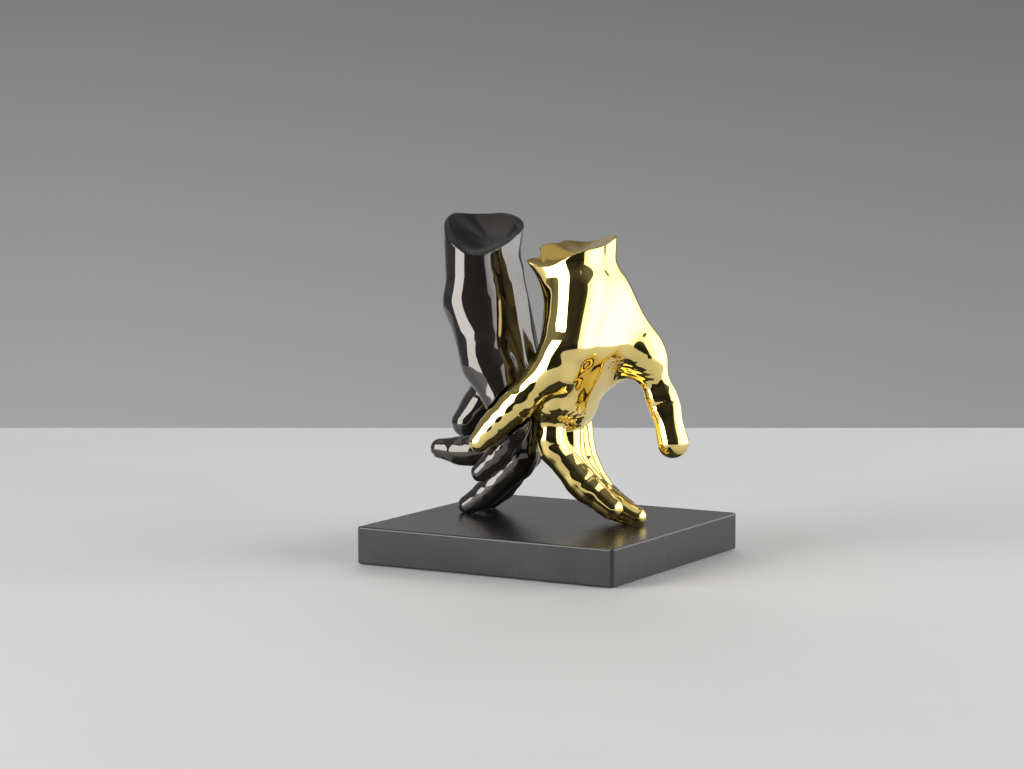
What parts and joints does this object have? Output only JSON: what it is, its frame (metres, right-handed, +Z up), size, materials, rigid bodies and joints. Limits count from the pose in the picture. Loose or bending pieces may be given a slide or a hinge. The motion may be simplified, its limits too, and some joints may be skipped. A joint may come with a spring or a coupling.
{
  "type": "hands figurine",
  "caption": "Figurine of a gold-plated hand and a black-plated hand walking apart on their fingertips, cut off at the wrists and standing on a flat dark plinth.",
  "frame": {"origin": "centre of the underside, on the table that the figurine stands on", "axes": "+Z up, +X along the plinth's longer side towards the gold hand's side, +Y away from the side that the picture is taken from"},
  "size_m": [0.18, 0.17, 0.2158],
  "materials": {
    "gold_plate": "mirror-polished gold-tone plating on a cast hand",
    "black_nickel": "mirror-polished black nickel plating on a cast hand",
    "plinth_lacquer": "satin black lacquer on a fibreboard block",
    "felt": "black felt",
    "steel": "plain zinc-coated steel"
  },
  "bodies": {
    "root": {"plinth": "plinth_lacquer", "base_felt": "felt", "gold_hand": "gold_plate", "black_hand": "black_nickel", "gold_rod": "steel", "black_rod_middle": "steel", "black_rod_index": "steel", "gold_washer": "steel", "black_washer_middle": "steel", "black_washer_index": "steel", "gold_nut": "steel", "black_nut_middle": "steel", "black_nut_index": "steel"}
  },
  "joints": []
}
